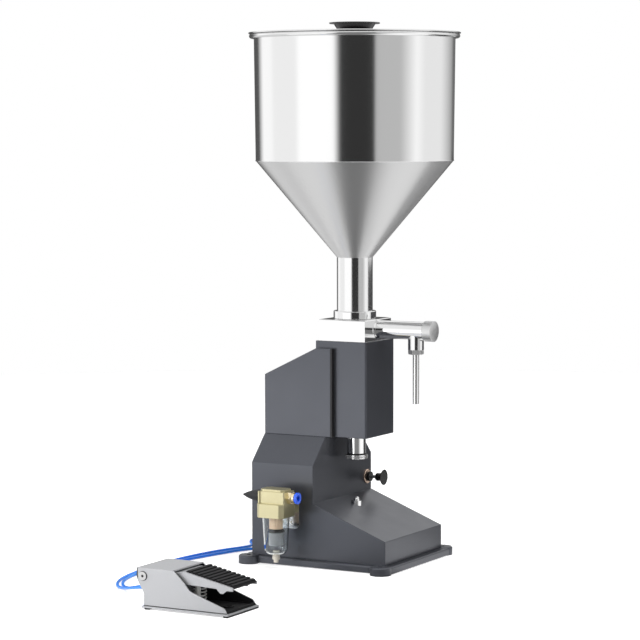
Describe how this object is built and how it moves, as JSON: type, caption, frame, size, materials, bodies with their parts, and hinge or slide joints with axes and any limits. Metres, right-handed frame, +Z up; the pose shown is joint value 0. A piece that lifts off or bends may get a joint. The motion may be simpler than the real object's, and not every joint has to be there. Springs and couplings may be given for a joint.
{
  "type": "pneumatic piston filling machine",
  "caption": "Bench-top pneumatic piston filler: steel hopper over a valve block and dosing cylinder on a cast housing, with air filter, hand valve and a foot pedal on hoses.",
  "frame": {"origin": "on the bench, at the centre of the base's four bolt holes", "axes": "+Z up; -Y toward the nozzle at the front; +X to the machine's right as its user faces it from the rear"},
  "size_m": [0.5805, 0.3467, 0.7188],
  "materials": {
    "housing_paint": "satin dark slate grey paint",
    "trim_rubber": "matt black",
    "polished_steel": "polished",
    "hopper_steel": "brushed inside, bright outside",
    "knob_plastic": "black",
    "nozzle_steel": "satin",
    "spring_steel": "bright",
    "white_polymer": "natural white",
    "seal_rubber": "black",
    "cylinder_alloy": "anodised clear",
    "filter_paint": "gold-cream anodised",
    "bracket_steel": "zinc plated",
    "sinter": "tan sintered",
    "filter_black": "black",
    "frosted": "frosted",
    "bowl_clear": "clear polycarbonate",
    "drain_plastic": "warm grey",
    "brass": "nickel-free brass",
    "copper_brass": "reddish brass",
    "blue_plastic": "blue",
    "pedal_sheet": "silver grey",
    "pedal_rubber": "ribbed black",
    "hose_blue": "translucent blue polyurethane",
    "tie_black": "black"
  },
  "bodies": {
    "frame": {"base_plate": "housing_paint", "lower_housing": "housing_paint", "cylinder_box": "housing_paint", "rear_cover": "housing_paint", "cover_trim": "trim_rubber", "valve_block": "polished_steel", "hopper": "hopper_steel", "hopper_cone": "hopper_steel", "hopper_neck": "hopper_steel", "hopper_gasket": "white_polymer", "collar_nut": "polished_steel", "outlet_tube": "polished_steel", "outlet_cap": "polished_steel", "outlet_spring": "spring_steel", "nozzle_nut": "nozzle_steel", "nozzle_tube": "nozzle_steel", "dosing_cylinder": "nozzle_steel", "air_barrel": "cylinder_alloy", "barrel_heads": "cylinder_alloy", "neck_sleeve": "polished_steel", "screws": "polished_steel", "stop_bolt": "polished_steel", "filter_bracket": "bracket_steel", "filter_head": "filter_paint", "filter_element": "sinter", "element_baffle": "filter_black", "filter_cup": "frosted", "filter_bowl": "bowl_clear", "inlet_cap": "filter_black", "outlet_fitting": "brass", "hand_valve": "knob_plastic", "valve_ring_nut": "copper_brass", "pedal_housing": "pedal_sheet", "pedal_base": "pedal_sheet", "pedal_mat": "pedal_rubber", "pedal_feet": "pedal_rubber", "pedal_pivot": "polished_steel", "return_spring": "spring_steel", "foot_valve": "cylinder_alloy", "hose_fittings": "blue_plastic", "hose_a": "hose_blue", "hose_b": "hose_blue", "hose_a_coil": "hose_blue", "hose_b_coil": "hose_blue", "coil_ties": "tie_black"},
    "lid": {"hopper_lid": "hopper_steel", "lid_knob": "knob_plastic"},
    "piston": {"dosing_piston": "white_polymer", "piston_seals": "seal_rubber", "piston_rod": "polished_steel", "air_piston": "cylinder_alloy"},
    "inlet_valve": {"inlet_poppet": "white_polymer"},
    "outlet_valve": {"outlet_poppet": "white_polymer"},
    "stroke_ring": {"adjusting_ring": "polished_steel"},
    "drain": {"drain_valve": "drain_plastic"},
    "hose_release": {"release_ring": "blue_plastic"},
    "shut_off": {"pull_knob": "knob_plastic"},
    "treadle": {"treadle": "pedal_sheet", "treadle_pad": "pedal_rubber"},
    "plunger": {"valve_plunger": "cylinder_alloy"}
  },
  "joints": [
    {"name": "lid_lift", "type": "slide", "parent": "frame", "child": "lid", "axis": [0, 0, 1], "range_m": [0, 0.12]},
    {"name": "piston_stroke", "type": "slide", "parent": "frame", "child": "piston", "axis": [0, 0, -1], "range_m": [0, 0.04]},
    {"name": "inlet_valve_lift", "type": "slide", "parent": "frame", "child": "inlet_valve", "axis": [0, 0, 1], "range_m": [0, 0.004]},
    {"name": "outlet_valve_lift", "type": "slide", "parent": "frame", "child": "outlet_valve", "axis": [0, -1, 0], "range_m": [0, 0.004], "stiffness_N_per_m": 100, "springref_m": -0.005, "deforming": ["outlet_spring"]},
    {"name": "stroke_ring_turn", "type": "hinge", "parent": "frame", "child": "stroke_ring", "pos_m": [0, -0.0155, 0.14], "axis": [0, 0, 1], "continuous": true},
    {"name": "drain_turn", "type": "hinge", "parent": "frame", "child": "drain", "pos_m": [-0.116, 0.043, 0.015], "axis": [0, 0, 1], "range_deg": [0, 90]},
    {"name": "hose_release_press", "type": "slide", "parent": "frame", "child": "hose_release", "axis": [0, 1, 0], "range_m": [0, 0.0015], "stiffness_N_per_m": 300, "springref_m": -0.001},
    {"name": "shut_off_push", "type": "slide", "parent": "frame", "child": "shut_off", "axis": [0, 1, 0], "range_m": [0, 0.004]},
    {"name": "treadle_press", "type": "hinge", "parent": "frame", "child": "treadle", "pos_m": [-0.395, 0.0483, 0.0405], "axis": [1, 0, 0], "range_deg": [0, 8], "stiffness_Nm_per_rad": 3, "springref_deg": -6.88, "deforming": ["return_spring"]},
    {"name": "plunger_press", "type": "slide", "parent": "frame", "child": "plunger", "axis": [0, 0, -1], "range_m": [0, 0.0031]}
  ],
  "couplings": [
    {"joint": "plunger_press", "follows": "treadle_press", "m_per_rad": 0.0216}
  ]
}
